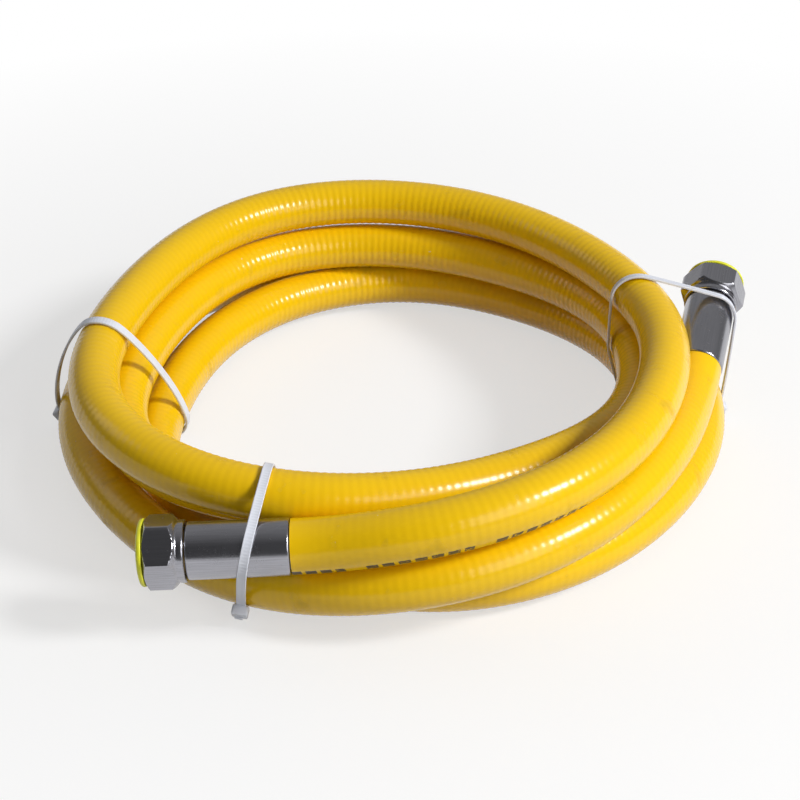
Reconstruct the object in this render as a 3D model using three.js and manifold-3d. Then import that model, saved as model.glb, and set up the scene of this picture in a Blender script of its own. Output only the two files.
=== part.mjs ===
// A coil of flexible gas hose with a swivel union nut and a dust cap on each end, held by three cable ties.
// Millimetres, +Z up. The coil lies on Z = 0, and the group is centred on its own outline in X and Y.
import * as THREE from 'three';
import { mergeVertices } from 'three/addons/utils/BufferGeometryUtils.js';
import Module from 'manifold-3d';

const wasm = await Module();
wasm.setup();

// Hose: a jacket over a ribbed liner
const hoseOuter = 20.4;
const jacketWall = 1.8;
const linerClearance = 0.3;
const linerWall = 1.8;

// Ferrule, pressed over the bare end of the liner and a little proud of the jacket
const ferruleRise = 0.25;
const ferruleLength = 36.9;
const ferruleChamfer = 0.5;
const ferruleClearance = 0.3;
const jacketEndGap = 0.4;

// Tailpiece, the turned stub that the nut swivels on
const tailSpigotClearance = 0.3;
const tailSpigotWall = 1.25;
const tailSpigotLength = 24;
const tailShoulderLength = 6;
const tailFlangeThickness = 2.2;
const tailFlangeClearance = 0.35;

// Union nut
const nutLip = 1.05;
const nutWall = 2.55;
const nutLength = 14.4;
const nutCollarStep = 0.7;
const nutCollarLength = 2.6;
const nutCornerChamfer = 1.2;
const nutEndWall = 3;
const nutNeckClearance = 0.3;
const nutToFerrule = 0.4;

// Seal washer, inside the nut against the tailpiece flange
const washerWidth = 3.15;
const washerThickness = 2;
const washerClearance = 0.3;

// Dust cap, a domed plug pushed into the nut
const capOverhang = 0.3;
const capRim = 1.4;
const capDome = 1.2;
const capBevel = 1.6;
const capPlugLength = 5;
const capPlugClearance = 0.35;
const capPlugWall = 1.3;
const capSeatClearance = 0.3;

// Cable ties
const strapWidth = 3.5;
const strapThickness = 1.1;
const strapClearance = 0.3;
const tieHeadLong = 6.4;
const tieHeadWide = 6.2;
const tieHeadHigh = 4.4;

// Facets round each kind of piece, and the angle between the rings of the hose
const jacketSides = 12;
const linerSides = 8;
const strapSides = 48;
const nutSides = 48;
const turnedSides = 32;
const ringAngle = 12;

// The coil's lay, in hose diameters: radius and height of the centre line every stationAngle degrees,
// chosen by eye, one row for each turn, counter-clockwise from the front. The first and last turns are part turns.
const stationAngle = 30;
const firstStationAngle = -90;
const layRadius = [
  7.05, 6.53, 5.68, 5.22, 4.98, 5.22, 5.69, 5.96, 5.70, 5.85, 6.52, 6.46,
  5.64, 4.98, 4.92, 4.96, 5.12, 5.16, 5.50, 5.80, 5.47, 5.47, 5.95, 5.68,
  5.00, 4.80, 4.98, 5.20, 5.46, 5.54, 5.74, 5.44, 4.95, 4.90, 5.35, 5.42,
  6.12, 6.23, 6.11, 6.26, 6.50, 6.70, 6.86, 6.90, 6.78, 6.60, 6.45, 6.59,
  6.98, 6.61, 6.03,
];
const layHeight = [
  2.20, 2.54, 2.56, 2.53, 2.53, 2.54, 2.55, 2.53, 2.49, 2.46, 2.44, 2.29,
  2.03, 1.78, 1.60, 1.51, 1.50, 1.51, 1.53, 1.50, 1.47, 1.46, 1.47, 1.58,
  1.22, 0.72, 0.50, 0.50, 0.50, 0.50, 0.50, 0.50, 0.50, 0.50, 0.50, 0.50,
  0.50, 0.50, 0.50, 0.50, 0.50, 0.50, 0.50, 0.50, 0.50, 0.50, 0.50, 0.50,
  1.11, 1.48, 1.56,
];

// Where the hose leaves each ferrule, in hose diameters, and where the fitting points
const fittings = {
  a: { mouth: [-1.885, -6.88, 1.85], yaw: 180, pitch: -2.9, spin: 14 },
  b: { mouth: [6.05, -0.42, 1.70], yaw: 74.9, pitch: 16.3, spin: 26 },
};

// Each tie's plane, by a point on it and its normal in hose diameters, and the side its head sits on, in degrees
const ties = {
  front: { point: [-2.134, 0, 0], normal: [1, -0.12, -0.17], headAt: 220, reach: [-2.6, -5.8] },
  left: { point: [0, -1.376, 0], normal: [0.255, 1, 0.304], headAt: 330, reach: [-5.6, 0] },
  right: { point: [0, 1, 0], normal: [0.06, 1, -0.1], headAt: 216, reach: [5.6, 1.2] },
};

const hoseRadius = hoseOuter / 2;
const jacketBore = hoseOuter - 2 * jacketWall;
const linerOuter = jacketBore - 2 * linerClearance;
const linerBore = linerOuter - 2 * linerWall;
const ferruleOuter = hoseOuter + 2 * ferruleRise;
const ferruleBore = linerOuter + 2 * ferruleClearance;
const tailShoulderOuter = ferruleBore - 2 * ferruleClearance;
const tailSpigotOuter = linerBore - 2 * tailSpigotClearance;
const tailBore = tailSpigotOuter - 2 * tailSpigotWall;
const nutNeckBore = tailShoulderOuter + 2 * nutNeckClearance;
const nutThreadBore = nutNeckBore + 2 * nutLip;
const nutAcrossFlats = nutThreadBore + 2 * nutWall;
const nutCollarOuter = nutAcrossFlats - 2 * nutCollarStep;
const flangeOuter = nutThreadBore - 2 * tailFlangeClearance;
const washerOuter = nutThreadBore - 2 * washerClearance;
const washerBore = washerOuter - 2 * washerWidth;
const capOuter = nutAcrossFlats + 2 * capOverhang;
const linerRunIn = ferruleLength - tailShoulderLength - ferruleClearance;
const coilLift = strapThickness + strapClearance;
const radians = THREE.MathUtils.degToRad;

const finish = {
  jacket: { color: 0xf2b705, roughness: 0.38, metalness: 0 },
  liner: { color: 0xb9bcc0, roughness: 0.35, metalness: 1 },
  chrome: { color: 0xb4b8be, roughness: 0.15, metalness: 1 },
  brass: { color: 0xc9a24a, roughness: 0.3, metalness: 1 },
  seal: { color: 0x1c1c1c, roughness: 0.8, metalness: 0 },
  cap: { color: 0xeeee10, roughness: 0.45, metalness: 0 },
  tie: { color: 0xeef0f2, roughness: 0.5, metalness: 0 },
};

// Closed geometry to solid and back
function toSolid(geometry) {
  const bare = geometry.clone();
  bare.deleteAttribute('normal');
  bare.deleteAttribute('uv');
  const merged = mergeVertices(bare, 1e-4);
  return new wasm.Manifold(new wasm.Mesh({
    numProp: 3,
    vertProperties: merged.attributes.position.array,
    triVerts: new Uint32Array(merged.index.array),
  }));
}

function toGeometry(solid) {
  const mesh = solid.getMesh();
  const geometry = new THREE.BufferGeometry();
  geometry.setAttribute('position', new THREE.BufferAttribute(mesh.vertProperties, 3));
  geometry.setIndex(new THREE.BufferAttribute(mesh.triVerts, 1));
  geometry.computeVertexNormals();
  return geometry;
}

function piece(name, geometry, look) {
  const mesh = new THREE.Mesh(geometry, new THREE.MeshStandardMaterial(finish[look]));
  mesh.name = name;
  return mesh;
}

// A turned shape about +Z: the profile runs from low to high Z on the outside and back on the inside
function turned(profile, sides = turnedSides) {
  const points = profile.map(([radius, height]) => new THREE.Vector2(radius, height));
  const geometry = new THREE.LatheGeometry([...points, points[0]], sides);
  geometry.rotateX(Math.PI / 2);
  return geometry;
}

// A slice of a curve given by values at known angles, smooth in slope and bend, with a set slope at each end
function smoothValues(angles, values, firstSlope, lastSlope) {
  const last = angles.length - 1;
  const gap = angles.slice(1).map((angle, i) => angle - angles[i]);
  const slope = gap.map((width, i) => (values[i + 1] - values[i]) / width);
  const scale = [0];
  const slopes = [firstSlope];
  for (let i = 1; i < last; i += 1) {
    const pivot = 2 * (gap[i] + gap[i - 1]) - gap[i] * scale[i - 1];
    const pull = 3 * (slope[i - 1] * gap[i] + slope[i] * gap[i - 1]);
    scale.push(gap[i - 1] / pivot);
    slopes.push((pull - gap[i] * slopes[i - 1]) / pivot);
  }
  slopes.push(lastSlope);
  for (let i = last - 1; i > 0; i -= 1) {
    slopes[i] -= scale[i] * slopes[i + 1];
  }
  return (angle) => {
    const found = angles.findIndex((value) => value > angle);
    const i = (found < 0 ? last : Math.max(found, 1)) - 1;
    const t = (angle - angles[i]) / gap[i];
    const rise = t * t * (3 - 2 * t);
    const leave = t * (1 - t) ** 2 * gap[i] * slopes[i];
    const arrive = t * t * (t - 1) * gap[i] * slopes[i + 1];
    return values[i] * (1 - rise) + values[i + 1] * rise + leave + arrive;
  };
}

// The direction that a fitting points in, away from its hose
function aim({ yaw, pitch }) {
  const level = Math.cos(radians(pitch));
  return new THREE.Vector3(
    level * Math.cos(radians(yaw)), level * Math.sin(radians(yaw)), Math.sin(radians(pitch)),
  );
}

function mouthPoint({ mouth }) {
  return new THREE.Vector3(...mouth).multiplyScalar(hoseOuter).add(new THREE.Vector3(0, 0, coilLift));
}

// A fitting's mouth in coil terms: angle, radius and height, with the slopes that a run direction gives them
function coilStart(fitting, run) {
  const point = new THREE.Vector3(...fitting.mouth);
  const radius = Math.hypot(point.x, point.y);
  const outward = (point.x * run.x + point.y * run.y) / radius;
  const around = (point.x * run.y - point.y * run.x) / radius;
  const perDegree = radians(1) * radius / around;
  return {
    angle: THREE.MathUtils.radToDeg(Math.atan2(point.y, point.x)),
    radius,
    height: point.z,
    radiusSlope: outward * perDegree,
    heightSlope: run.z * perDegree,
  };
}

// The hose's centre line. Its rings lie at whole multiples of ringAngle, so that those of every turn line up,
// and a run-in carries it straight on into both ferrules.
class HosePath extends THREE.Curve {
  constructor(runIn = 0) {
    super();
    this.runIn = runIn;
    const start = coilStart(fittings.a, aim(fittings.a).negate());
    const end = coilStart(fittings.b, aim(fittings.b));
    const stations = layRadius.map((_, i) => firstStationAngle + i * stationAngle);
    const lastStation = stations[stations.length - 1];
    const wholeTurns = 360 * Math.ceil((lastStation - end.angle) / 360);
    this.firstAngle = start.angle;
    this.lastAngle = end.angle + wholeTurns;
    const angles = [this.firstAngle, ...stations, this.lastAngle];
    this.radiusAt = smoothValues(angles, [start.radius, ...layRadius, end.radius], start.radiusSlope, end.radiusSlope);
    this.heightAt = smoothValues(angles, [start.height, ...layHeight, end.height], start.heightSlope, end.heightSlope);
    this.firstRing = Math.floor(this.firstAngle / ringAngle);
    this.rings = Math.ceil(this.lastAngle / ringAngle) - this.firstRing;
  }

  get steps() {
    return this.rings + (this.runIn ? 2 : 0);
  }

  coilPoint(angle) {
    const radius = this.radiusAt(angle) * hoseOuter;
    const turn = radians(angle);
    const height = this.heightAt(angle) * hoseOuter + coilLift;
    return new THREE.Vector3(radius * Math.cos(turn), radius * Math.sin(turn), height);
  }

  ringAt(t) {
    return t * this.steps - (this.runIn ? 1 : 0);
  }

  angleAt(ring) {
    return THREE.MathUtils.clamp((this.firstRing + ring) * ringAngle, this.firstAngle, this.lastAngle);
  }

  getPoint(t) {
    const ring = this.ringAt(t);
    const point = this.coilPoint(this.angleAt(ring));
    const inA = Math.max(-ring, 0) * this.runIn;
    const inB = Math.max(ring - this.rings, 0) * this.runIn;
    return point.addScaledVector(aim(fittings.a), inA).addScaledVector(aim(fittings.b), inB);
  }

  getTangent(t) {
    const angle = this.angleAt(this.ringAt(t));
    const before = this.coilPoint(Math.max(angle - 0.01, this.firstAngle));
    const after = this.coilPoint(Math.min(angle + 0.01, this.lastAngle));
    return after.sub(before).normalize();
  }

  getUtoTmapping(u) {
    return u;
  }
}

// A tube along the hose: its outside stays within the outer radius, and its bore stays clear of the bore radius
function tube(path, outerRadius, boreRadius, sides) {
  const corner = (radius, i) => {
    const turn = 2 * Math.PI * i / sides;
    return new THREE.Vector2(radius * Math.cos(turn), radius * Math.sin(turn));
  };
  const ring = (radius) => Array.from({ length: sides }, (_, i) => corner(radius, i));
  const section = new THREE.Shape(ring(outerRadius));
  section.holes.push(new THREE.Path(ring(boreRadius / Math.cos(Math.PI / sides))));
  return new THREE.ExtrudeGeometry(section, { steps: path.steps, extrudePath: path });
}

function ferrule() {
  const outer = ferruleOuter / 2;
  const bore = ferruleBore / 2;
  return turned([
    [bore, 0], [outer - ferruleChamfer, 0], [outer, ferruleChamfer],
    [outer, ferruleLength - ferruleChamfer], [outer - ferruleChamfer, ferruleLength], [bore, ferruleLength],
  ]);
}

// Heights along a fitting, measured from its mouth
const nutStart = ferruleLength + nutToFerrule;
const nutEnd = nutStart + nutLength;
const flangeStart = nutStart + nutEndWall + tailFlangeClearance;
const washerStart = flangeStart + tailFlangeThickness + washerClearance;

function tailpiece() {
  const bore = tailBore / 2;
  const spigot = tailSpigotOuter / 2;
  const shoulder = tailShoulderOuter / 2;
  const flange = flangeOuter / 2;
  const shoulderStart = ferruleLength - tailShoulderLength;
  return turned([
    [bore, shoulderStart - tailSpigotLength], [spigot, shoulderStart - tailSpigotLength],
    [spigot, shoulderStart], [shoulder, shoulderStart], [shoulder, flangeStart],
    [flange, flangeStart], [flange, flangeStart + tailFlangeThickness], [bore, flangeStart + tailFlangeThickness],
  ]);
}

function sealWasher() {
  const outer = washerOuter / 2;
  const bore = washerBore / 2;
  return turned([
    [bore, washerStart], [outer, washerStart],
    [outer, washerStart + washerThickness], [bore, washerStart + washerThickness],
  ]);
}

// Hexagon with turned corners, running down a short cone to the round collar at the hose end
function unionNut() {
  const corner = nutAcrossFlats / 2 / Math.cos(Math.PI / 6);
  const flat = nutAcrossFlats / 2;
  const collar = nutCollarOuter / 2;
  const hexagon = new THREE.CylinderGeometry(corner, corner, nutLength, 6);
  hexagon.rotateX(Math.PI / 2);
  hexagon.translate(0, 0, nutStart + nutLength / 2);
  const coneStart = nutStart + nutCollarLength;
  const envelope = turned([
    [0, nutStart], [collar, nutStart], [collar, coneStart], [corner, coneStart + corner - collar],
    [corner, nutEnd - nutCornerChamfer], [flat - nutCornerChamfer / 2, nutEnd], [0, nutEnd],
  ], nutSides);
  const neck = nutNeckBore / 2;
  const thread = nutThreadBore / 2;
  const outside = 1;
  const bore = turned([
    [0, nutStart - outside], [neck, nutStart - outside], [neck, nutStart + nutEndWall],
    [thread, nutStart + nutEndWall], [thread, nutEnd + outside], [0, nutEnd + outside],
  ]);
  return toGeometry(toSolid(hexagon).intersect(toSolid(envelope)).subtract(toSolid(bore)));
}

function dustCap() {
  const seat = nutEnd + capSeatClearance;
  const outer = capOuter / 2;
  const plug = nutThreadBore / 2 - capPlugClearance;
  const hollow = plug - capPlugWall;
  return turned([
    [hollow, seat - capPlugLength], [plug, seat - capPlugLength], [plug, seat], [outer, seat],
    [outer, seat + capRim], [outer - capBevel, seat + capRim + capDome * 0.55],
    [outer / 2, seat + capRim + capDome * 0.9], [0, seat + capRim + capDome], [0, seat + capRim / 2],
    [hollow, seat + capRim / 2],
  ]);
}

// One end of the hose, its axis along local Z from the mouth outward
function fitting(letter) {
  const place = fittings[letter];
  const group = new THREE.Group();
  group.position.copy(mouthPoint(place)).addScaledVector(aim(place), jacketEndGap);
  group.quaternion.setFromUnitVectors(new THREE.Vector3(0, 0, 1), aim(place));
  const nut = new THREE.Group();
  nut.rotation.z = radians(place.spin);
  nut.add(
    piece(`union_nut_${letter}`, unionNut(), 'chrome'),
    piece(`seal_washer_${letter}`, sealWasher(), 'seal'),
    piece(`dust_cap_${letter}`, dustCap(), 'cap'),
  );
  group.add(
    piece(`ferrule_${letter}`, ferrule(), 'chrome'),
    piece(`tailpiece_${letter}`, tailpiece(), 'brass'),
    nut,
  );
  return group;
}

// Round sections that a tie goes about: where the hose and the ferrules pass through the strap's width
function tiedSections(centreLine, origin, normal, across, up, reach) {
  const sections = [];
  centreLine.forEach(({ point, radius }) => {
    if (Math.hypot(point.x - reach.x, point.y - reach.y) > 3 * hoseOuter) {
      return;
    }
    const from = point.clone().sub(origin);
    const away = Math.max(Math.abs(from.dot(normal)) - strapWidth / 2, 0);
    if (away < radius) {
      sections.push({ x: from.dot(across), y: from.dot(up), radius: Math.sqrt(radius ** 2 - away ** 2) });
    }
  });
  return sections;
}

// A taut loop round the sections: the furthest point of any of them in each direction
function tautLoop(sections, spare) {
  return Array.from({ length: strapSides }, (_, i) => {
    const turn = 2 * Math.PI * i / strapSides;
    const facing = new THREE.Vector2(Math.cos(turn), Math.sin(turn));
    const reachOf = (section) => section.x * facing.x + section.y * facing.y + section.radius;
    const furthest = sections.reduce((best, section) => (reachOf(section) > reachOf(best) ? section : best));
    return new THREE.Vector2(furthest.x, furthest.y).addScaledVector(facing, furthest.radius + spare);
  });
}

function cableTie(name, centreLine) {
  const place = ties[name];
  const normal = new THREE.Vector3(...place.normal).normalize();
  const up = new THREE.Vector3(0, 0, 1).addScaledVector(normal, -normal.z).normalize();
  const across = new THREE.Vector3().crossVectors(up, normal);
  const origin = new THREE.Vector3(...place.point).multiplyScalar(hoseOuter);
  const reach = new THREE.Vector2(...place.reach).multiplyScalar(hoseOuter);
  const sections = tiedSections(centreLine, origin, normal, across, up, reach);
  const strap = new THREE.Shape(tautLoop(sections, strapClearance + strapThickness));
  strap.holes.push(new THREE.Path(tautLoop(sections, strapClearance)));
  const band = new THREE.ExtrudeGeometry(strap, { depth: strapWidth, bevelEnabled: false });
  band.translate(0, 0, -strapWidth / 2);
  const turn = radians(place.headAt);
  const facing = new THREE.Vector2(Math.cos(turn), Math.sin(turn));
  const loop = tautLoop(sections, strapClearance);
  const seat = loop.reduce((best, p) => (p.dot(facing) > best.dot(facing) ? p : best));
  const head = new THREE.BoxGeometry(tieHeadHigh, tieHeadLong, tieHeadWide);
  head.rotateZ(turn);
  const out = seat.clone().addScaledVector(facing, tieHeadHigh / 2);
  head.translate(out.x, out.y, 0);
  const geometry = toGeometry(toSolid(band).add(toSolid(head)));
  const mesh = piece(`cable_tie_${name}`, geometry, 'tie');
  mesh.applyMatrix4(new THREE.Matrix4().makeBasis(across, up, normal).setPosition(origin));
  return mesh;
}

// The centre lines that the ties go about, in short steps along the straight edges between the hose's rings
function tiedLines(path) {
  const fine = 12;
  const ferruleSteps = 36;
  const rings = path.getSpacedPoints(path.steps);
  const line = [];
  rings.slice(1).forEach((ring, i) => {
    for (let k = 0; k < fine; k += 1) {
      line.push({ point: rings[i].clone().lerp(ring, k / fine), radius: hoseRadius });
    }
  });
  Object.values(fittings).forEach((place) => {
    for (let k = 0; k <= ferruleSteps; k += 1) {
      const along = jacketEndGap + k * ferruleLength / ferruleSteps;
      const point = mouthPoint(place).addScaledVector(aim(place), along);
      line.push({ point, radius: ferruleOuter / 2 });
    }
  });
  return line;
}

const hose = new THREE.Group();
const jacketPath = new HosePath();
const linerPath = new HosePath(linerRunIn);
hose.add(
  piece('hose_jacket', tube(jacketPath, hoseRadius, jacketBore / 2, jacketSides), 'jacket'),
  piece('hose_liner', tube(linerPath, linerOuter / 2, linerBore / 2, linerSides), 'liner'),
  fitting('a'),
  fitting('b'),
);
const wrapped = tiedLines(jacketPath);
Object.keys(ties).forEach((name) => hose.add(cableTie(name, wrapped)));

// Stand the coil on Z = 0 and centre it
hose.updateMatrixWorld(true);
const outline = new THREE.Box3().setFromObject(hose, true);
const middle = outline.getCenter(new THREE.Vector3());
hose.position.set(-middle.x, -middle.y, -outline.min.z);

export default hose;
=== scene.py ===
import math

import bpy
import numpy as np
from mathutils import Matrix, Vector


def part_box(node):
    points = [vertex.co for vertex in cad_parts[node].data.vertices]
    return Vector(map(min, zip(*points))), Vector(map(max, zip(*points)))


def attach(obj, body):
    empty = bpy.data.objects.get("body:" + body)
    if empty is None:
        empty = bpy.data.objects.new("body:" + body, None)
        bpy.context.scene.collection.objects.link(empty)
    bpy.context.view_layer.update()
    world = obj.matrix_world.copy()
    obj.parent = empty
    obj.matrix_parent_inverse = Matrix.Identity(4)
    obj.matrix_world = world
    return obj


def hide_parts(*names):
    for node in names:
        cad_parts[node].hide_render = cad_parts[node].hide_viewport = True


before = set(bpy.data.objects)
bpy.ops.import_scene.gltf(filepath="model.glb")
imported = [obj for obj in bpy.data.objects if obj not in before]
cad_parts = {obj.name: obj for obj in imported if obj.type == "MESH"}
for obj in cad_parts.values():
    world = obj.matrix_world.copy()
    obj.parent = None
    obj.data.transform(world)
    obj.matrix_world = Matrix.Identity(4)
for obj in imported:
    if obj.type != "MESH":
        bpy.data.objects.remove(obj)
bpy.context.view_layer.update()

bl_info = {
    "name": "Coiled Gas Hose",
    "version": (1, 0, 0),
    "blender": (4, 5, 0),
    "location": "3D View > Sidebar > Gas Hose",
    "description": "Dresses a coil of yellow gas hose with its union nuts, dust caps and cable ties",
    "category": "Object",
}

MM = 0.001

# The coil's lay in hose diameters: radius and height of the centre line every STATION_STEP degrees,
# counter-clockwise from the front, one row for each turn. The first and last turns are part turns.
STATION_STEP = 30
STATION_START = -90
# The solid liner's straight steps, in degrees round the coil
LINER_STEP = 12
LAY_RADIUS = (
    7.05, 6.53, 5.68, 5.22, 4.98, 5.22, 5.69, 5.96, 5.70, 5.85, 6.52, 6.46,
    5.64, 4.98, 4.92, 4.96, 5.12, 5.16, 5.50, 5.80, 5.47, 5.47, 5.95, 5.68,
    5.00, 4.80, 4.98, 5.20, 5.46, 5.54, 5.74, 5.44, 4.95, 4.90, 5.35, 5.42,
    6.12, 6.23, 6.11, 6.26, 6.50, 6.70, 6.86, 6.90, 6.78, 6.60, 6.45, 6.59,
    6.98, 6.61, 6.03,
)
LAY_HEIGHT = (
    2.20, 2.54, 2.56, 2.53, 2.53, 2.54, 2.55, 2.53, 2.49, 2.46, 2.44, 2.29,
    2.03, 1.78, 1.60, 1.51, 1.50, 1.51, 1.53, 1.50, 1.47, 1.46, 1.47, 1.58,
    1.22, 0.72, 0.50, 0.50, 0.50, 0.50, 0.50, 0.50, 0.50, 0.50, 0.50, 0.50,
    0.50, 0.50, 0.50, 0.50, 0.50, 0.50, 0.50, 0.50, 0.50, 0.50, 0.50, 0.50,
    1.11, 1.48, 1.56,
)

# Where the hose leaves each ferrule, in hose diameters, and where the fitting points, in degrees
FITTINGS = {
    "a": {"mouth": (-1.885, -6.88, 1.85), "yaw": 180, "pitch": -2.9, "spin": 14},
    "b": {"mouth": (6.05, -0.42, 1.70), "yaw": 74.9, "pitch": 16.3, "spin": 26},
}

# Each tie's plane: a point on it and its normal in hose diameters, the side its head sits on in degrees,
# the middle of the bundle that it goes round, and how far the stiff strap eases its corners, in degrees
TIES = {
    "front": {"point": (-2.134, 0, 0), "normal": (1, -0.12, -0.17), "head": 220, "near": (-2.6, -5.8),
              "spring": 8},
    "left": {"point": (0, -1.376, 0), "normal": (0.255, 1, 0.304), "head": 330, "near": (-5.6, 0),
             "spring": 26},
    "right": {"point": (0, 1, 0), "normal": (0.06, 1, -0.1), "head": 216, "near": (5.6, 1.2),
              "spring": 2},
}

TURN = 2 * math.pi


def length_property(name, value, description):
    """A size in metres that shows in the sidebar, given in millimetres."""
    return bpy.props.FloatProperty(
        name=name, description=description, default=value * MM, unit="LENGTH", precision=5)


def colour_property(name, value, description):
    return bpy.props.FloatVectorProperty(
        name=name, description=description, default=value, size=3, min=0, max=1, subtype="COLOR")


class HoseSizes(bpy.types.PropertyGroup):
    outer: length_property("Outer diameter", 20.4, "Jacket outside, over the ribs")
    wall: length_property("Jacket wall", 1.8, "Thickness of the jacket")
    rib_pitch: length_property("Rib pitch", 3.3, "Distance between the liner's ribs")
    rib_depth: length_property("Rib depth", 0.12, "How far the jacket sinks between ribs")
    end_gap: length_property("End gap", 0.4, "Gap between the jacket and the ferrule")
    tie_lift: length_property("Lift", 1.4, "Height of the coil above the floor, on its ties")


class FittingSizes(bpy.types.PropertyGroup):
    ferrule_outer: length_property("Ferrule diameter", 20.9, "Outside of the ferrule")
    ferrule_bore: length_property("Ferrule bore", 16.8, "Inside of the ferrule")
    ferrule_length: length_property("Ferrule length", 36.9, "Length of the ferrule")
    nut_gap: length_property("Nut gap", 0.4, "Gap between the ferrule and the nut")
    nut_flats: length_property("Nut across flats", 24.0, "Size of the spanner")
    nut_length: length_property("Nut length", 14.4, "Length of the union nut")
    nut_collar: length_property("Collar diameter", 22.6, "Round collar at the hose end of the nut")
    nut_neck: length_property("Neck bore", 16.8, "Hole in the nut's end wall")
    nut_thread: length_property("Thread bore", 18.9, "Bore over the crests of the thread")
    cap_outer: length_property("Cap diameter", 24.6, "Head of the dust cap")
    cap_plug: length_property("Cap plug diameter", 18.2, "Plug of the dust cap")


class TieSizes(bpy.types.PropertyGroup):
    width: length_property("Strap width", 3.5, "Width of the strap")
    thickness: length_property("Strap thickness", 1.1, "Thickness of the strap")
    clearance: length_property("Clearance", 0.3, "Gap between the strap and what it holds")
    tooth_pitch: length_property("Tooth pitch", 1.15, "Distance between the strap's teeth")
    head_long: length_property("Head length", 6.4, "Length of the head along the strap")
    head_wide: length_property("Head width", 6.2, "Width of the head across the strap")
    head_high: length_property("Head height", 4.4, "Height of the head above the strap")


class HoseColours(bpy.types.PropertyGroup):
    jacket: colour_property("Jacket", (0.88, 0.545, 0.003), "Golden yellow jacket")
    # Painted shade: a darker jacket colour for the grooves between ribs, also used as the mottle's darker
    # tone
    jacket_dark_tone_and_groove_shade: colour_property("Jacket groove shade", (0.74, 0.42, 0.002), "Painted shade between ribs, also the mottle's darker tone")
    ink: colour_property("Ink", (0.05, 0.045, 0.03), "Printed marks along the hose")
    plate: colour_property("Plate", (0.40, 0.40, 0.435), "Nickel plate on nuts and ferrules")
    cap: colour_property("Dust cap", (0.84, 0.82, 0.04), "Lemon yellow dust cap")
    nylon: colour_property("Cable tie", (0.73, 0.76, 0.84), "Natural nylon")


# Node trees

class Signal:
    """A socket whose value varies over the surface: arithmetic on it adds Math nodes."""

    def __init__(self, finish, socket):
        self.finish = finish
        self.socket = socket

    def math(self, operation, *values, clamp=False):
        node = self.finish.node("ShaderNodeMath", {"operation": operation, "use_clamp": clamp},
                                dict(enumerate(values)))
        return Signal(self.finish, node.outputs[0])

    def __add__(self, other):
        return self.math("ADD", self, other)

    def __radd__(self, other):
        return self.math("ADD", other, self)

    def __sub__(self, other):
        return self.math("SUBTRACT", self, other)

    def __mul__(self, other):
        return self.math("MULTIPLY", self, other)

    def __truediv__(self, other):
        return self.math("DIVIDE", self, other)

    def __lt__(self, other):
        return self.math("LESS_THAN", self, other)

    def __abs__(self):
        return self.math("ABSOLUTE", self)

    def clamped(self):
        return self.math("ADD", self, 0.0, clamp=True)

    def fraction(self):
        return self.math("FRACT", self)

    def ramp(self, low, high):
        """0 at low, 1 at high, straight between."""
        return self.math("MULTIPLY", self - low, 1 / (high - low), clamp=True)


class Tree:
    """A node tree and the one way that nodes are added to it."""

    def __init__(self, tree):
        self.tree = tree

    def node(self, kind, settings=None, inputs=None):
        made = self.tree.nodes.new(kind)
        for name, value in (settings or {}).items():
            setattr(made, name, value)
        for name, value in (inputs or {}).items():
            self.feed(made.inputs[name], value)
        return made

    def feed(self, socket, value):
        if isinstance(value, Signal):
            value = value.socket
        if isinstance(value, bpy.types.NodeSocket):
            self.tree.links.new(value, socket)
        elif socket.type == "RGBA":
            socket.default_value = (*value[:3], 1)
        else:
            socket.default_value = value

    def signal(self, kind, output, settings=None, inputs=None):
        return Signal(self, self.node(kind, settings, inputs).outputs[output])

    def place(self, output="Object"):
        return self.node("ShaderNodeTexCoord").outputs[output]

    def along(self, vector, direction):
        """How far a vector reaches in a direction."""
        return self.signal("ShaderNodeVectorMath", "Value", {"operation": "DOT_PRODUCT"},
                           {0: vector, 1: direction})

    def attribute(self, name):
        return self.signal("ShaderNodeAttribute", "Fac", {"attribute_name": name})

    def noise(self, scale, detail=3.0, vector=None):
        if vector is None:
            vector = self.place()
        return self.signal("ShaderNodeTexNoise", "Fac", None,
                           {"Vector": vector, "Scale": scale, "Detail": detail})

    def mix(self, factor, first, second):
        node = self.node("ShaderNodeMix", {"data_type": "RGBA"})
        self.feed(node.inputs[0], factor)
        self.feed(node.inputs[6], first)
        self.feed(node.inputs[7], second)
        return node.outputs[2]

    def bump(self, height, distance, strength):
        inputs = {"Height": height, "Distance": distance, "Strength": strength}
        return self.node("ShaderNodeBump", None, inputs).outputs[0]

    def vector(self, x, y, z):
        return self.node("ShaderNodeCombineXYZ", None, {"X": x, "Y": y, "Z": z}).outputs[0]


class Finish(Tree):
    """A material with its main shader."""

    def __init__(self, name):
        self.material = bpy.data.materials.new(name)
        self.material.use_nodes = True
        super().__init__(self.material.node_tree)
        self.shader = self.tree.nodes["Principled BSDF"]

    def set(self, **sockets):
        for name, value in sockets.items():
            self.feed(self.shader.inputs[name.replace("_", " ")], value)
        return self.material


# Meshes

def add_mesh(name, points, faces, finish, body, sharp, values=None):
    """A piece from points and faces, riding on a body, smooth but for edges past sharp degrees."""
    mesh = bpy.data.meshes.new(name)
    mesh.from_pydata([tuple(point) for point in np.asarray(points, float)], [], faces)
    mesh.shade_smooth()
    mesh.set_sharp_from_angle(angle=math.radians(sharp))
    for key, data in (values or {}).items():
        layer = mesh.attributes.new(key, "FLOAT", "POINT")
        layer.data.foreach_set("value", np.asarray(data, np.float32))
    mesh.validate()
    mesh.materials.append(finish)
    piece = bpy.data.objects.new(name, mesh)
    bpy.context.scene.collection.objects.link(piece)
    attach(piece, body)
    return piece


def grid_faces(rows, columns, close_rows=False):
    """Quads over rows of points that close round their columns, and if asked from last row to first."""
    faces = []
    for row in range(rows if close_rows else rows - 1):
        after = (row + 1) % rows
        for column in range(columns):
            beside = (column + 1) % columns
            faces.append((row * columns + column, row * columns + beside,
                          after * columns + beside, after * columns + column))
    return faces


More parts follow.
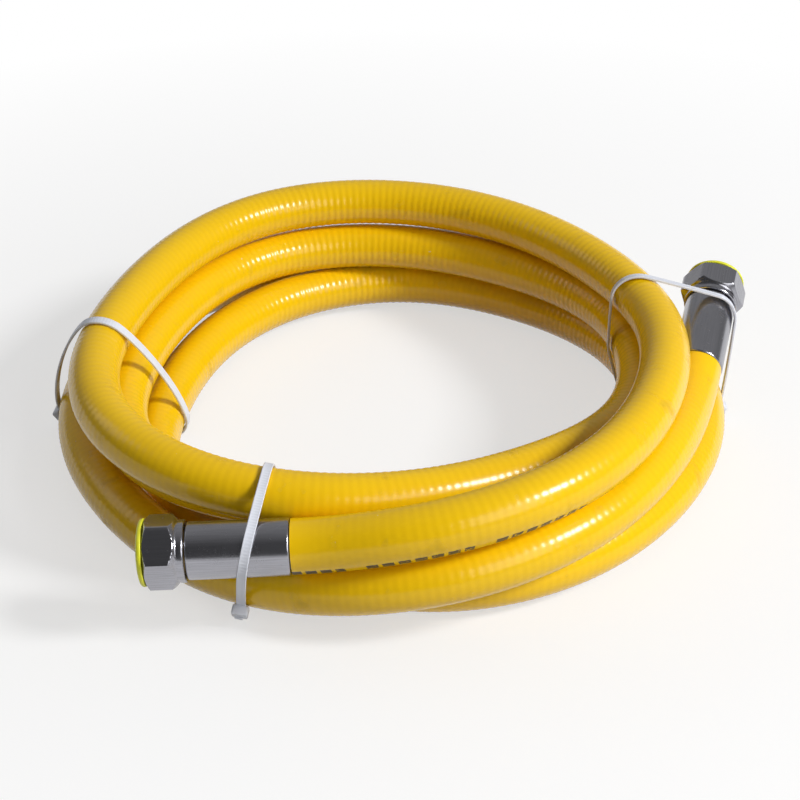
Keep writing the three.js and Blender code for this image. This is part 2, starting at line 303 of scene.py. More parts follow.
def rounded(profile, radius, parts=4):
    """A closed profile of (radius, height) points whose corners are rounded off."""
    points = [np.array(point[:2], float) for point in profile]
    own = [point[2] if len(point) > 2 else radius for point in profile]
    result = []
    for i, corner in enumerate(points):
        before, after = points[i - 1], points[(i + 1) % len(points)]
        to_before, to_after = before - corner, after - corner
        reach_before, reach_after = np.linalg.norm(to_before), np.linalg.norm(to_after)
        cut = min(own[i], 0.45 * reach_before, 0.45 * reach_after)
        on_axis = corner[0] < 1e-6
        if cut < 1e-4 or on_axis:
            result.append(corner)
            continue
        first = corner + to_before / reach_before * cut
        last = corner + to_after / reach_after * cut
        for part in range(parts + 1):
            t = part / parts
            result.append((1 - t) ** 2 * first + 2 * t * (1 - t) * corner + t ** 2 * last)
    return result


def revolve(profile, columns=96, outline=None):
    """Points and faces of a turned ring: a closed profile in millimetres about local Z.
    An outline, if given, holds back the radius by angle, as a hexagon does."""
    angles = np.arange(columns) * TURN / columns
    points = []
    for radius, height in profile:
        radii = np.full(columns, radius)
        if outline is not None:
            radii = outline(angles, radius)
        points.append(np.stack([radii * np.cos(angles), radii * np.sin(angles),
                                np.full(columns, height)], 1))
    return np.concatenate(points) * MM, grid_faces(len(profile), columns, close_rows=True)


def revolve_solid(profile, columns=96):
    """A turned solid whose profile starts and ends on the axis."""
    points, _ = revolve(profile[1:-1], columns)
    rows = len(profile) - 2
    faces = grid_faces(rows, columns)
    first, last = len(points), len(points) + 1
    points = np.concatenate([points, [[0, 0, profile[0][1] * MM], [0, 0, profile[-1][1] * MM]]])
    for column in range(columns):
        beside = (column + 1) % columns
        faces.append((first, beside, column))
        faces.append((last, (rows - 1) * columns + column, (rows - 1) * columns + beside))
    return points, faces


# The hose's line

def smooth_values(angles, values, first_slope, last_slope):
    """A curve through values at known angles, smooth in slope and bend, with a set slope at each end."""
    gap = np.diff(angles)
    rise = np.diff(values) / gap
    count = len(values)
    system = np.eye(count)
    pull = np.zeros(count)
    pull[0], pull[-1] = first_slope, last_slope
    for i in range(1, count - 1):
        system[i, i - 1:i + 2] = gap[i], 2 * (gap[i] + gap[i - 1]), gap[i - 1]
        pull[i] = 3 * (rise[i - 1] * gap[i] + rise[i] * gap[i - 1])
    slopes = np.linalg.solve(system, pull)

    def at(angle):
        i = np.clip(np.searchsorted(angles, angle, side="right") - 1, 0, count - 2)
        t = (angle - angles[i]) / gap[i]
        blend = t * t * (3 - 2 * t)
        leave = t * (1 - t) ** 2 * gap[i] * slopes[i]
        arrive = t * t * (t - 1) * gap[i] * slopes[i + 1]
        return values[i] * (1 - blend) + values[i + 1] * blend + leave + arrive
    return at


def aim(letter):
    """The direction that a fitting points in, away from its hose."""
    yaw, pitch = (math.radians(FITTINGS[letter][key]) for key in ("yaw", "pitch"))
    return np.array([math.cos(pitch) * math.cos(yaw), math.cos(pitch) * math.sin(yaw), math.sin(pitch)])


def coil_start(letter, run):
    """A mouth as angle, radius and height, with the slopes per degree that a run direction gives them."""
    x, y, z = FITTINGS[letter]["mouth"]
    radius = math.hypot(x, y)
    outward = (x * run[0] + y * run[1]) / radius
    around = (x * run[1] - y * run[0]) / radius
    per_degree = math.radians(1) * radius / around
    return math.degrees(math.atan2(y, x)), radius, z, outward * per_degree, run[2] * per_degree


class Coil:
    """The hose's centre line in the row frame, in metres."""

    def __init__(self, sizes, ferrule_length):
        self.sizes = sizes
        start = coil_start("a", -aim("a"))
        end = coil_start("b", aim("b"))
        stations = STATION_START + STATION_STEP * np.arange(len(LAY_RADIUS), dtype=float)
        self.first = start[0]
        self.last = end[0] + 360 * math.ceil((stations[-1] - end[0]) / 360)
        angles = np.concatenate([[self.first], stations, [self.last]])
        self.radius = smooth_values(angles, np.array([start[1], *LAY_RADIUS, end[1]]), start[3], end[3])
        self.height = smooth_values(angles, np.array([start[2], *LAY_HEIGHT, end[2]]), start[4], end[4])
        # The solids are centred on their outline, so the coil's own centre is found from a ferrule's
        self.shift = np.zeros(3)
        low, high = (np.array(corner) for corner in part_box("ferrule_a"))
        middle = self.mouth("a") + aim("a") * (sizes.end_gap + ferrule_length / 2)
        self.shift = (low + high) / 2 - middle

    def mouth(self, letter):
        point = np.array(FITTINGS[letter]["mouth"]) * self.sizes.outer
        return point + np.array([0, 0, self.sizes.tie_lift]) + self.shift

    def at(self, angle):
        angle = np.asarray(angle, float)
        turn = np.radians(angle)
        radius = self.radius(angle) * self.sizes.outer
        height = self.height(angle) * self.sizes.outer + self.sizes.tie_lift
        return np.stack([radius * np.cos(turn), radius * np.sin(turn), height], -1) + self.shift

    def spaced(self, count):
        """count + 1 points at even distances, with the angle and the distance of each."""
        fine = np.linspace(self.first, self.last, 12001)
        steps = np.linalg.norm(np.diff(self.at(fine), axis=0), axis=1)
        along = np.concatenate([[0], np.cumsum(steps)])
        wanted = np.linspace(0, along[-1], count + 1)
        angles = np.interp(wanted, along, fine)
        return self.at(angles), angles, wanted

    def length(self):
        return self.spaced(1)[2][-1]


def frames(points):
    """Directions along a line and two across it, carried on from the first point with no twist."""
    ahead = np.gradient(points, axis=0)
    ahead /= np.linalg.norm(ahead, axis=1)[:, None]
    side = np.zeros_like(points)
    side[0] = np.cross(ahead[0], [0, 0, 1])
    side[0] /= np.linalg.norm(side[0])
    for i in range(1, len(points)):
        carried = side[i - 1] - ahead[i] * side[i - 1].dot(ahead[i])
        side[i] = carried / np.linalg.norm(carried)
    return ahead, side, np.cross(ahead, side)


def own_axes(points):
    """Where a fitting's points lie along its own axes, in millimetres, for marks drawn along it."""
    return {f"local_{axis}": np.asarray(points)[:, i] / MM for i, axis in enumerate("xyz")}


def placed(points, letter, sizes, turn=0.0):
    """Local points of a fitting, whose Z runs out from its mouth, as points of the row frame."""
    out = Vector(aim(letter))
    rotation = Vector((0, 0, 1)).rotation_difference(out).to_matrix()
    spin = math.radians(turn)
    local = np.asarray(points).copy()
    x, y = local[:, 0].copy(), local[:, 1].copy()
    local[:, 0] = x * math.cos(spin) - y * math.sin(spin)
    local[:, 1] = x * math.sin(spin) + y * math.cos(spin)
    scene = bpy.context.scene
    coil = Coil(scene.hose_sizes, scene.fitting_sizes.ferrule_length)
    start = coil.mouth(letter) + aim(letter) * sizes.end_gap
    return local @ np.array(rotation).T + start


# Finishes

def darker(colour, share):
    return tuple(share * part for part in colour)


def jacket_finish(colours):
    """Golden PVC over ribs with painted shade in the grooves, mottling, rubs, specks and printed marks.
    """
    finish = Finish("jacket_pvc")
    groove = finish.attribute("groove")
    run = finish.attribute("run")
    aside = abs(finish.attribute("from_print"))
    mottle = finish.noise(38, 4)
    # Painted shade: the jacket is darkened in the grooves between the ribs, and the mottle mixes in the
    # same darker tone at random
    colour = finish.mix(groove * 0.22 + (mottle - 0.5) * 0.4, colours.jacket, colours.jacket_dark_tone_and_groove_shade)
    # Marks in groups, a block for each place where a letter would be
    block_pitch, group_pitch, half_height = 5.5 * MM, 44 * MM, 1.7 * MM
    blocks = (run / block_pitch + 0.1).fraction() < 0.74
    words = (run / group_pitch + 0.4).fraction() < 0.84
    band = aside < half_height
    worn = finish.noise(700, 3).ramp(0.3, 0.4)
    ink = blocks * words * band * worn * finish.attribute("print_side")
    colour = finish.mix(ink, colour, colours.ink)
    # Dull brown rubs and pale specks
    rub_brown, speck_cream = (0.20, 0.13, 0.02), (0.80, 0.74, 0.55)
    rubs = finish.noise(75, 6).ramp(0.64, 0.78)
    colour = finish.mix(rubs * 0.28, colour, rub_brown)
    specks = finish.noise(330, 2).ramp(0.79, 0.82) * 0.5
    colour = finish.mix(specks, colour, speck_cream)
    normal = finish.bump(finish.noise(900, 2), 0.00002, 0.3)
    return finish.set(Base_Color=colour, Roughness=0.17 + mottle * 0.1 + ink * 0.15 + rubs * 0.25,
                      Normal=normal, Specular_IOR_Level=0.38)


def plate_finish(name, colours, roughness=0.16):
    """Bright nickel plate: slight haze, fine marks drawn along the fitting and small rubs."""
    finish = Finish(name)
    haze = finish.noise(60, 4)
    rubs = finish.noise(500, 5).ramp(0.62, 0.8)
    drawn_out = 0.03
    drawn = finish.vector(finish.attribute("local_x"), finish.attribute("local_y"),
                          finish.attribute("local_z") * drawn_out)
    streaks = finish.noise(2.2, 4, drawn)
    colour = finish.mix(haze.ramp(0.35, 0.7) * 0.35, colours.plate, darker(colours.plate, 0.8))
    colour = finish.mix(streaks.ramp(0.4, 0.68) * 0.4, colour, darker(colours.plate, 0.6))
    normal = finish.bump(streaks, 0.00003, 0.35)
    return finish.set(Base_Color=colour, Metallic=1.0, Normal=normal,
                      Roughness=roughness + haze * 0.08 + rubs * 0.1 + streaks * 0.06)


def plastic_finish(name, colour, deep, roughness, grain_scale):
    finish = Finish(name)
    mottle = finish.noise(90, 3)
    grain = finish.noise(grain_scale, 2)
    mixed = finish.mix(mottle.ramp(0.3, 0.75) * 0.5, colour, deep)
    return finish.set(Base_Color=mixed, Roughness=roughness + mottle * 0.1,
                      Normal=finish.bump(grain, 0.00003, 0.3))


def metal_finish(name, colour, roughness):
    finish = Finish(name)
    haze = finish.noise(120, 4)
    return finish.set(Base_Color=finish.mix(haze * 0.4, colour, darker(colour, 0.7)),
                      Metallic=1.0, Roughness=roughness + haze * 0.15)


# Operators

class HOSE_OT_camera(bpy.types.Operator):
    """Set the camera at the height and distance that the coil is seen from"""
    bl_idname = "hose.camera"
    bl_label = "Camera"

    elevation: bpy.props.FloatProperty(
        name="Elevation", description="Angle above the floor", default=math.radians(31), subtype="ANGLE")
    distance: bpy.props.FloatProperty(
        name="Distance", description="Hose diameters from the aim point", default=39.5)
    lens: bpy.props.FloatProperty(name="Lens", description="Focal length in millimetres", default=86.58)

    def execute(self, context):
        scene = context.scene
        sizes = scene.hose_sizes
        coil = Coil(sizes, scene.fitting_sizes.ferrule_length)
        target = np.array([0, -0.5, 1.0]) * sizes.outer + coil.shift + np.array([0, 0, sizes.tie_lift])
        back = np.array([0, -math.cos(self.elevation), math.sin(self.elevation)])
        data = bpy.data.cameras.new("camera")
        data.lens = self.lens
        data.sensor_width = 36
        data.clip_start = 0.01
        camera = bpy.data.objects.new("camera", data)
        scene.collection.objects.link(camera)
        camera.location = target + back * self.distance * sizes.outer
        camera.rotation_euler = (math.pi / 2 - self.elevation, 0, 0)
        scene.camera = camera
        return {"FINISHED"}


class HOSE_OT_jacket(bpy.types.Operator):
    """Lay the ribbed jacket along the coil"""
    bl_idname = "hose.jacket"
    bl_label = "Jacket"

    sides: bpy.props.IntProperty(name="Sides", description="Facets round the jacket", default=24)
    rings_a_rib: bpy.props.IntProperty(name="Rings a rib", description="Rings in one rib", default=4)

    def execute(self, context):
        scene = context.scene
        sizes = scene.hose_sizes
        coil = Coil(sizes, scene.fitting_sizes.ferrule_length)
        length = coil.length()
        ribs = round(length / sizes.rib_pitch)
        points, angles, along = coil.spaced(ribs * self.rings_a_rib)
        ahead, side, up = frames(points)
        outer = sizes.outer / 2
        around = np.arange(self.sides) * TURN / self.sides
        # Ribs show more on the inside of a bend, where they close up
        bend = np.gradient(ahead, axis=0) / (along[1] - along[0])
        across = (side[:, None, :] * np.cos(around)[None, :, None]
                  + up[:, None, :] * np.sin(around)[None, :, None])
        facing = np.einsum("ij,ikj->ik", bend, across) * outer
        groove = 0.5 - 0.5 * np.cos(TURN * along / along[-1] * ribs)
        calm_reach = 50 * MM
        calm = np.clip(np.minimum(along, along[-1] - along) / calm_reach, 0, 1)
        least, most, gain = 0.75, 2.2, 9
        depth = sizes.rib_depth * np.clip(1 + gain * facing, least, most) * calm[:, None]
        radius = outer - depth * groove[:, None]
        skin = points[:, None, :] + across * radius[:, :, None]
        # The bore keeps to the same straight steps as the solid liner in it
        inner = outer - sizes.wall
        step = LINER_STEP
        even = np.arange(math.ceil(coil.first / step) * step, coil.last, step)
        marks = np.concatenate([[coil.first], even, [coil.last]])
        places = np.interp(marks[::-1], angles, np.arange(len(angles)))
        rings = np.clip(np.round(places).astype(int), 0, len(angles) - 1)
        bore = points[rings][:, None, :] + across[rings] * inner
        shell = np.concatenate([skin.reshape(-1, 3), bore.reshape(-1, 3)])
        rows = len(skin) + len(bore)
        faces = grid_faces(rows, self.sides, close_rows=True)
        columns = np.tile(around, len(skin))
        # The printed line faces front and down at the first ferrule, then turns to the underside
        turns_over, front_down, underside = (100 * MM, 180 * MM), 37, 95
        print_at = np.radians(np.interp(along, turns_over, (front_down, underside)))
        from_print = (columns - np.repeat(print_at, self.sides) + math.pi) % TURN - math.pi
        spare = len(bore) * self.sides
        values = {
            "run": np.concatenate([np.repeat(along, self.sides), np.zeros(spare)]),
            "from_print": np.concatenate([from_print * outer, np.ones(spare)]),
            "print_side": np.concatenate([np.abs(from_print) < 1.5, np.zeros(spare)]),
            # groove: where the grooves lie, which the jacket finish darkens as painted shade
            "groove": np.concatenate([np.repeat(groove * calm, self.sides), np.zeros(spare)]),
        }
        finish = jacket_finish(scene.hose_colours)
        jacket = add_mesh("jacket_ribbed", shell, faces, finish, "hose", sharp=60,
                          values=values)
        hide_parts("hose_jacket")
        path = coil.spaced(600)[0]
        tuple(coil.mouth("a"))
        return {"FINISHED"}


class HOSE_OT_ferrules(bpy.types.Operator):
    """Press a plated ferrule on each end of the hose"""
    bl_idname = "hose.ferrules"
    bl_label = "Ferrules"

    def execute(self, context):
        scene = context.scene
        sizes = scene.fitting_sizes
        outer = sizes.ferrule_outer / 2 / MM
        bore = sizes.ferrule_bore / 2 / MM
        length = sizes.ferrule_length / MM
        profile = rounded([
            (bore, 0), (outer - 0.3, 0, 0.3), (outer, 0.5, 0.5), (outer, length - 0.6, 0.6),
            (outer - 0.35, length, 0.4), (bore, length),
        ], 0.3)
        finish = plate_finish("ferrule_plate", scene.hose_colours, 0.17)
        for letter in FITTINGS:
            local, faces = revolve(profile)
            points = placed(local, letter, scene.hose_sizes)
            ferrule = add_mesh(f"ferrule_{letter}_turned", points, faces, finish, "hose",
                               sharp=50, values=own_axes(local))
            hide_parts(f"ferrule_{letter}")
        return {"FINISHED"}


class HOSE_OT_union_nuts(bpy.types.Operator):
    """Cut the hexagon, collar and thread of each union nut"""
    bl_idname = "hose.union_nuts"
    bl_label = "Union nuts"

    def execute(self, context):
        scene = context.scene
        sizes = scene.fitting_sizes
        flat = sizes.nut_flats / 2 / MM
        collar = sizes.nut_collar / 2 / MM
        corner = flat / math.cos(math.pi / 6)
        length = sizes.nut_length / MM
        neck = sizes.nut_neck / 2 / MM
        thread = sizes.nut_thread / 2 / MM
        end_wall = 3.0
        start = (sizes.ferrule_length + sizes.nut_gap) / MM
        # The turned outside over height: collar, neck, cone up to the hexagon, and its chamfered end
        envelope = [
            (0.0, collar - 0.5), (0.15, collar - 0.2), (0.5, collar), (2.1, collar), (2.5, collar - 0.12),
            (2.9, collar + 0.1), (3.3, collar + 0.6), (4.4, collar + 1.8), (5.3, collar + 2.7),
            (length - 1.5, corner + 0.2), (length - 0.1, flat - 0.1), (length, flat - 0.3),
        ]
        heights = np.unique(np.concatenate([
            np.linspace(0, 0.6, 4), np.linspace(0.6, 2.0, 3), np.linspace(2.0, 5.6, 15),
            np.linspace(5.6, length - 1.9, 5), np.linspace(length - 1.9, length, 11),
        ]))
        radii = np.interp(heights, *zip(*envelope))
        outside = list(zip(radii, heights))
        thread_pitch, root, lead_in, relief = 1.81, thread + 0.75, 0.6, 1.6
        ridges = []
        height = length - lead_in
        while height - thread_pitch > end_wall + relief:
            middle = height - thread_pitch / 2
            ridges += [(thread, height), (thread, height - 0.25), (root, middle - 0.05),
                       (root, middle - 0.2), (thread, height - thread_pitch + 0.25)]
            height -= thread_pitch
        inside = [(flat - 0.6, length), (thread + 0.9, length), (thread, length - lead_in), *ridges,
                  (thread, end_wall), (neck, end_wall), (neck, 0.3), (neck + 0.3, 0.0),
                  (collar - 0.9, 0.0)]
        profile = [(radius, start + height) for radius, height in outside + inside]
        crisp = 22.0
        corner_cut, corner_reach = 0.12, 0.03

        def hexagon(angles, radius):
            """The lesser of the turned radius and the hexagon's, eased together at their edge."""
            fold = (angles + math.pi / 2) % (TURN / 6) - TURN / 12
            reach = flat / np.cos(fold)
            eased = -np.logaddexp(-reach * crisp, -radius * crisp * np.ones_like(reach)) / crisp
            worn = np.exp(-((np.abs(fold) - TURN / 12) / corner_reach) ** 2)
            return np.minimum(eased, corner - corner_cut * worn)

        finish = plate_finish("nut_plate", scene.hose_colours, 0.15)
        for letter, place in FITTINGS.items():
            local, faces = revolve(profile, 120, hexagon)
            points = placed(local, letter, scene.hose_sizes, place["spin"])
            nut = add_mesh(f"union_nut_{letter}_cut", points, faces, finish, f"nut_{letter}",
                           sharp=24, values=own_axes(local))
            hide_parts(f"union_nut_{letter}")
        return {"FINISHED"}


class HOSE_OT_dust_caps(bpy.types.Operator):
    """Mould a domed dust cap in each nut"""
    bl_idname = "hose.dust_caps"
    bl_label = "Dust caps"

    def execute(self, context):
        scene = context.scene
        sizes = scene.fitting_sizes
        colours = scene.hose_colours
        outer = sizes.cap_outer / 2 / MM
        plug = sizes.cap_plug / 2 / MM
        seat = (sizes.ferrule_length + sizes.nut_gap + sizes.nut_length) / MM + 0.3
        body = rounded([
            (plug - 1.3, seat + 0.7), (plug - 1.3, seat - 5), (plug - 0.35, seat - 5, 0.3),
            (plug, seat - 4.2, 0.5), (plug, seat), (outer - 0.1, seat, 0.3), (outer, seat + 0.6, 0.5),
            (outer - 0.3, seat + 1.5, 0.6), (outer - 2.0, seat + 2.1, 0.8),
            (outer * 0.5, seat + 2.5, 1.0), (outer * 0.2, seat + 2.6, 0.6),
        ], 0.25)
        profile = [(0, seat + 0.7), *body, (0, seat + 2.6)]
        finish = plastic_finish("cap_plastic", colours.cap, (0.70, 0.72, 0.01), 0.38, 900)
        for letter, place in FITTINGS.items():
            points, faces = revolve_solid(profile, 72)
            points = placed(points, letter, scene.hose_sizes, place["spin"])
            cap = add_mesh(f"dust_cap_{letter}_moulded", points, faces, finish, f"cap_{letter}",
                           sharp=50)
            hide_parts(f"dust_cap_{letter}")
        return {"FINISHED"}


class HOSE_OT_inner_parts(bpy.types.Operator):
    """Finish the liner, tailpieces and seal washers, which stay as the solids are"""
    bl_idname = "hose.inner_parts"
    bl_label = "Inner parts"

    def execute(self, context):
        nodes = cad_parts
        liner = metal_finish("liner_steel", (0.62, 0.63, 0.65), 0.25)
        brass = metal_finish("tailpiece_brass", (0.72, 0.52, 0.2), 0.22)
        rubber = plastic_finish("washer_rubber", (0.02, 0.02, 0.02), (0.035, 0.035, 0.035), 0.7, 600)
        looks = {"hose_liner": liner, "tailpiece_a": brass, "tailpiece_b": brass,
                 "seal_washer_a": rubber, "seal_washer_b": rubber}
        for name, finish in looks.items():
            nodes[name].data.materials.clear()
            nodes[name].data.materials.append(finish)
        return {"FINISHED"}


class HOSE_OT_cable_ties(bpy.types.Operator):
    """Draw a toothed nylon tie round each bundle"""
    bl_idname = "hose.cable_ties"
    bl_label = "Cable ties"

    SAMPLES = 720

    def sections(self, scene, origin, normal, across, up, near):
        """Discs in the tie's plane where the hose and ferrules pass through the strap's width."""
        sizes, ties = scene.hose_sizes, scene.tie_sizes
        coil = Coil(sizes, scene.fitting_sizes.ferrule_length)
        line = [(point, sizes.outer / 2) for point in coil.spaced(3200)[0]]
        for letter in FITTINGS:
            start = coil.mouth(letter) + aim(letter) * sizes.end_gap
            steps = np.arange(0, scene.fitting_sizes.ferrule_length, 0.5 * MM)
            radius = scene.fitting_sizes.ferrule_outer / 2
            line += [(start + aim(letter) * step, radius) for step in steps]
        found = []
        for point, radius in line:
            if np.linalg.norm(point[:2] - near) > 3 * sizes.outer:
                continue
            offset = point - origin
            away = max(abs(offset @ normal) - ties.width / 2, 0)
            if away < radius:
                found.append((offset @ across, offset @ up, math.sqrt(radius ** 2 - away ** 2)))
        return np.array(found)

    def loop(self, discs, spring):
        """The strap's inner line: round the discs, eased over its corners, and flat on the floor."""
        count = self.SAMPLES
        turn = np.arange(count) * TURN / count
        middle = (discs[:, :2].max(0) + discs[:, :2].min(0)) / 2
        local = discs[:, :2] - middle
        facing = np.stack([np.cos(turn), np.sin(turn)])
        taut = (local @ facing + discs[:, 2:]).max(0)
        half = max(int(spring / TURN * count), 1)
        weights = 1 + np.cos(np.linspace(-math.pi, math.pi, 2 * half + 1))
        weights /= weights.sum()
        eased = np.convolve(np.concatenate([taut[-half:], taut, taut[:half]]), weights, mode="valid")
        reach = eased + 0.75 * (taut - eased).max()
        lean = np.gradient(np.concatenate([reach[-1:], reach, reach[:1]]), TURN / count)[1:-1]
        x = reach * facing[0] - lean * facing[1]
        y = reach * facing[1] + lean * facing[0]
        floor = -taut[round(count * 0.75)]
        return np.stack([x, np.maximum(y, floor)], 1) + middle

    def execute(self, context):
        scene = context.scene
        ties = scene.tie_sizes
        coil = Coil(scene.hose_sizes, scene.fitting_sizes.ferrule_length)
        colours = scene.hose_colours
        finish = plastic_finish("tie_nylon", colours.nylon, (0.66, 0.66, 0.70), 0.36, 1400)
        diameter = scene.hose_sizes.outer
        for name, place in TIES.items():
            normal = np.array(place["normal"], float)
            normal /= np.linalg.norm(normal)
            up = np.array([0, 0, 1.0]) - normal * normal[2]
            up /= np.linalg.norm(up)
            across = np.cross(up, normal)
            origin = np.array(place["point"]) * diameter + coil.shift
            near = np.array(place["near"]) * diameter + coil.shift[:2]
            discs = self.sections(scene, origin, normal, across, up, near)
            line = self.loop(discs, math.radians(place["spring"]))
            points, faces = self.strap(line, ties)
            head_points, head_faces = self.head(line, math.radians(place["head"]), ties)
            faces += [tuple(corner + len(points) for corner in face) for face in head_faces]
            flat = np.concatenate([points, head_points])
            world = origin + flat[:, :1] * across + flat[:, 1:2] * up + flat[:, 2:3] * normal
            tie = add_mesh(f"cable_tie_{name}_nylon", world, faces, finish, "hose", sharp=40)
            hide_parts(f"cable_tie_{name}")
        return {"FINISHED"}

    def strap(self, line, ties):
        """The strap as a closed band with rounded edges and a row of teeth on its inner face."""
        closed = np.concatenate([line, line[:1]])
        steps = np.linalg.norm(np.diff(closed, axis=0), axis=1)
        along = np.concatenate([[0], np.cumsum(steps)])
        teeth = round(along[-1] / ties.tooth_pitch)
        wanted = np.linspace(0, along[-1], teeth * 4, endpoint=False)
        inner = np.stack([np.interp(wanted, along, closed[:, axis]) for axis in (0, 1)], 1)
        ahead = np.roll(inner, -1, 0) - np.roll(inner, 1, 0)
        ahead /= np.linalg.norm(ahead, axis=1)[:, None]
        out = np.stack([ahead[:, 1], -ahead[:, 0]], 1)
        notch_depth, dip, edge = 0.14 * MM, 0.1 * MM, 0.25 * MM
        notch = np.array([0, 1, 1, 0])[np.arange(len(inner)) % 4] * notch_depth
        wide = ties.width / 2
        near, far = ties.clearance, ties.clearance + ties.thickness
        section = [(near, -wide + edge, 1), (near, wide - edge, 1), (near + edge, wide, 0),
                   (far - edge, wide, 0), (far, wide - edge, -1), (far - dip, wide - 3 * edge, -1),
                   (far - dip, -wide + 3 * edge, -1), (far, -wide + edge, -1),
                   (far - edge, -wide, 0), (near + edge, -wide, 0)]
        rows = []
        for depth, sideways, face in section:
            cut = notch * (1 if face > 0 else 0) - notch * 0.5 * (1 if face < 0 else 0)
            spot = inner + out * (depth + cut)[:, None]
            rows.append(np.concatenate([spot, np.full((len(inner), 1), sideways)], 1))
        points = np.stack(rows, 1).reshape(-1, 3)
        return points, grid_faces(len(inner), len(section), close_rows=True)

    def head(self, line, turn, ties):
        """The head as a rounded block on the strap, with the cut end of the tail standing out of it."""
        facing = np.array([math.cos(turn), math.sin(turn)])
        along = np.array([-facing[1], facing[0]])
        seat = line[np.argmax(line @ facing)]
        points, faces = [], []
        top = ties.clearance + ties.head_high
        blocks = [
            (ties.clearance, top, ties.head_long / 2, ties.head_wide / 2, 0.8 * MM),
            (top - 0.6 * MM, top + 0.9 * MM, 0.62 * MM, ties.width / 2 - 0.2 * MM, 0.12 * MM),
        ]
        for low, high, long, wide, edge in blocks:
            first = len(points)
            levels = [(low, edge), (low + edge, 0), (high - edge, 0),
                      (high - edge * 0.3, edge * 0.3), (high, edge)]
            for level, inset in levels:
                for a, b in self.outline(long - inset, wide - inset, edge):
                    spot = seat + facing * level + along * a
                    points.append((*spot, b))
            around = (len(points) - first) // len(levels)
            shell = grid_faces(len(levels), around)
            faces += [tuple(corner + first for corner in face) for face in shell]
            faces.append(tuple(first + i for i in reversed(range(around))))
            faces.append(tuple(first + (len(levels) - 1) * around + i for i in range(around)))
        return np.array(points), faces

    @staticmethod
    def outline(long, wide, corner):
        """A rectangle with rounded corners, counter-clockwise."""
        spots = []
        for a, b, start in ((1, 1, 0), (-1, 1, 90), (-1, -1, 180), (1, -1, 270)):
            for part in range(4):
                angle = math.radians(start + part * 30)
                spots.append((a * (long - corner) + corner * math.cos(angle),
                              b * (wide - corner) + corner * math.sin(angle)))
        return spots


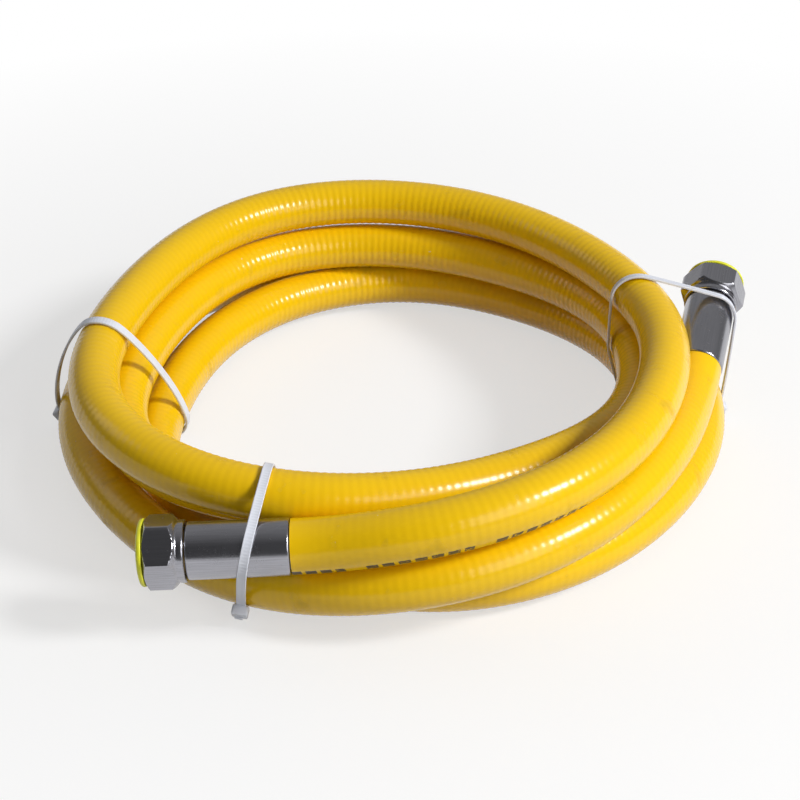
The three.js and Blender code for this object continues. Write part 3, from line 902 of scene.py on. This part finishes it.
class HOSE_OT_stage(bpy.types.Operator):
    """Lay the pale floor and hang the soft lamps"""
    bl_idname = "hose.stage"
    bl_label = "Stage"

    def execute(self, context):
        scene = context.scene
        span, below = 6.0, 0.2 * MM
        mesh = bpy.data.meshes.new("floor")
        corners = [(-span, -span, 0), (span, -span, 0), (span, span, 0), (-span, span, 0)]
        mesh.from_pydata(corners, [], [(0, 1, 2, 3)])
        floor = bpy.data.objects.new("floor", mesh)
        scene.collection.objects.link(floor)
        floor.location.z = -below
        mesh.materials.append(self.floor_finish())
        scene.world = self.sky()
        # Each lamp's place, the side of its square, and its power in watts
        lamps = [
            ("right", (1.74, -0.67, 1.51), 0.5, 44.0),
            ("front", (1.36, -1.62, 1.13), 1.4, 17.0),
            ("left", (-1.7, 0.5, 1.1), 0.9, 2.5),
        ]
        for name, spot, size, power in lamps:
            data = bpy.data.lights.new(f"lamp_{name}", "AREA")
            data.shape = "SQUARE"
            data.size = size
            data.energy = power
            lamp = bpy.data.objects.new(f"lamp_{name}", data)
            scene.collection.objects.link(lamp)
            lamp.location = spot
            lamp.rotation_euler = (-Vector(spot)).to_track_quat("-Z", "Y").to_euler()
        scene.view_settings.view_transform = "Standard"
        return {"FINISHED"}

    def floor_finish(self):
        """White that keeps the shadow near the coil and runs out to plain white further off."""
        floor = Finish("floor_white")
        spot = floor.signal("ShaderNodeVectorMath", "Value", {"operation": "LENGTH"}, {0: floor.place()})
        path = floor.node("ShaderNodeLightPath").outputs
        seen = Signal(floor, path["Is Camera Ray"]) + path["Is Glossy Ray"] + path["Is Transmission Ray"]
        seen = seen.clamped()
        # The floor throws less light up at the coil than its white would
        lit_by, looks = (0.55, 0.55, 0.55), (0.96, 0.96, 0.96)
        floor.set(Base_Color=floor.mix(seen, lit_by, looks), Roughness=0.9, Specular_IOR_Level=0.0)
        plain = floor.node("ShaderNodeEmission", None, {"Color": (1, 1, 1), "Strength": 1.0}).outputs[0]
        away = spot.ramp(0.2, 0.5)
        ends = floor.node("ShaderNodeMixShader", None, {
            0: (away * 0.4 + 0.6) * seen, 1: floor.shader.outputs[0], 2: plain})
        floor.feed(floor.tree.nodes["Material Output"].inputs["Surface"], ends.outputs[0])
        return floor.material

    def sky(self):
        """A dim room, lighter high up behind the coil and dark on the near side."""
        world = bpy.data.worlds.new("studio")
        world.use_nodes = True
        room = Tree(world.node_tree)
        behind = room.along(room.place("Generated"), (0, 0.8, 0.6)).clamped()
        background = room.tree.nodes["Background"]
        room.feed(background.inputs["Color"], (1, 1, 1))
        room.feed(background.inputs["Strength"], behind * 0.3 + 0.08)
        return world


OPERATORS = (
    HOSE_OT_camera, HOSE_OT_jacket, HOSE_OT_ferrules, HOSE_OT_union_nuts, HOSE_OT_dust_caps,
    HOSE_OT_inner_parts, HOSE_OT_cable_ties, HOSE_OT_stage,
)


class HOSE_PT_sidebar(bpy.types.Panel):
    bl_label = "Gas Hose"
    bl_idname = "HOSE_PT_sidebar"
    bl_space_type = "VIEW_3D"
    bl_region_type = "UI"
    bl_category = "Gas Hose"

    def draw(self, context):
        for group in (context.scene.hose_sizes, context.scene.fitting_sizes,
                      context.scene.tie_sizes, context.scene.hose_colours):
            box = self.layout.box()
            for name in group.bl_rna.properties.keys():
                if name not in ("rna_type", "name"):
                    box.prop(group, name)
        for operator in OPERATORS:
            self.layout.operator(operator.bl_idname)


GROUPS = {"hose_sizes": HoseSizes, "fitting_sizes": FittingSizes, "tie_sizes": TieSizes,
          "hose_colours": HoseColours}


def register():
    for item in (*GROUPS.values(), *OPERATORS, HOSE_PT_sidebar):
        bpy.utils.register_class(item)
    for name, group in GROUPS.items():
        setattr(bpy.types.Scene, name, bpy.props.PointerProperty(type=group))


def unregister():
    for name in GROUPS:
        delattr(bpy.types.Scene, name)
    for item in reversed((*GROUPS.values(), *OPERATORS, HOSE_PT_sidebar)):
        bpy.utils.unregister_class(item)


def main():
    register()
    bpy.ops.hose.camera()
    bpy.ops.hose.jacket()
    bpy.ops.hose.ferrules()
    bpy.ops.hose.union_nuts()
    bpy.ops.hose.dust_caps()
    bpy.ops.hose.inner_parts()
    bpy.ops.hose.cable_ties()
    bpy.ops.hose.stage()
    bpy.context.view_layer.update()


if __name__ == "__main__":
    main()
